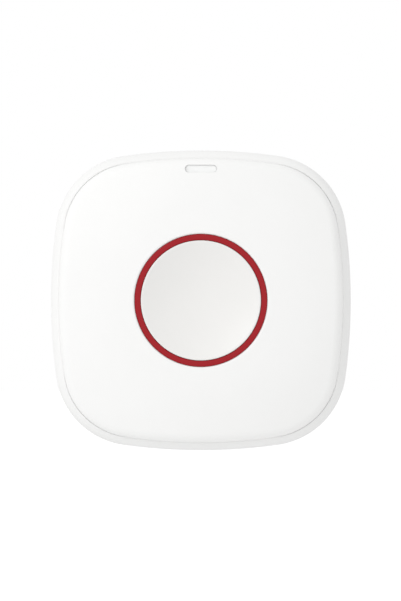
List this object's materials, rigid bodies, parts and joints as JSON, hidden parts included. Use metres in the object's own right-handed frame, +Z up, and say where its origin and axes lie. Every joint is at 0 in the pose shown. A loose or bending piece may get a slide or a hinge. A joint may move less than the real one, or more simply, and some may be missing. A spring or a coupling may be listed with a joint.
{
  "type": "wireless panic button",
  "caption": "Rounded-square wall button: domed shell, dished round key in a red ring, light window, slide-on bracket and twist battery door.",
  "frame": {"origin": "middle of the two wall screw holes, on the bracket's wall face", "axes": "+Y into the wall, so the key faces -Y; +Z up, towards the light window; +X to the right seen from the front"},
  "size_m": [0.062, 0.0175, 0.062],
  "materials": {
    "shell_white": "fine satin moulded finish",
    "key_white": "fine satin moulded finish",
    "ring_red": "satin moulded finish",
    "window_milk": "translucent, polished",
    "bracket_white": "fine matte moulded finish",
    "carrier_grey": "matte moulded finish",
    "silicone": "matte",
    "board_green": "solder mask",
    "switch_black": "matte",
    "chip_black": "matte",
    "lamp_white": "clear",
    "ceramic_tan": "ceramic",
    "steel": "bright",
    "cell_steel": "nickel plated",
    "brass_wire": "bright wire"
  },
  "bodies": {
    "wall": {"wall_plate": "bracket_white"},
    "case": {"rear_case": "shell_white", "front_cover": "shell_white", "trim_ring": "ring_red", "led_window": "window_milk", "case_seal": "silicone", "key_carrier": "carrier_grey", "key_membrane": "silicone", "circuit_board": "board_green", "switch_housing": "switch_black", "switch_plate": "steel", "switch_leads": "steel", "switch_dome": "steel", "status_led": "lamp_white", "radio_chip": "chip_black", "crystal": "steel", "capacitors": "ceramic_tan", "antenna_wire": "brass_wire", "coin_cell": "cell_steel", "cell_front_contact": "steel", "cell_side_contact": "steel", "case_screws": "steel", "board_screws": "steel", "carrier_screws": "steel"},
    "key": {"button_cap": "key_white"},
    "plunger": {"switch_plunger": "switch_black"},
    "door": {"battery_door": "bracket_white", "door_seal": "silicone"}
  },
  "joints": [
    {"name": "case_slide", "type": "slide", "parent": "wall", "child": "case", "axis": [0, 0, 1], "range_m": [0, 0.003]},
    {"name": "key_press", "type": "slide", "parent": "case", "child": "key", "axis": [0, 1, 0], "range_m": [0, 0.0008], "stiffness_N_per_m": 1500, "springref_m": -0.0004, "deforming": ["key_membrane"]},
    {"name": "plunger_travel", "type": "slide", "parent": "case", "child": "plunger", "axis": [0, 1, 0], "range_m": [0, 0.0008], "deforming": ["switch_dome"]},
    {"name": "door_twist", "type": "hinge", "parent": "case", "child": "door", "pos_m": [0, -0.0023, 0], "axis": [0, 1, 0], "range_deg": [0, 35]}
  ],
  "couplings": [
    {"joint": "plunger_travel", "follows": "key_press", "ratio": 1}
  ]
}
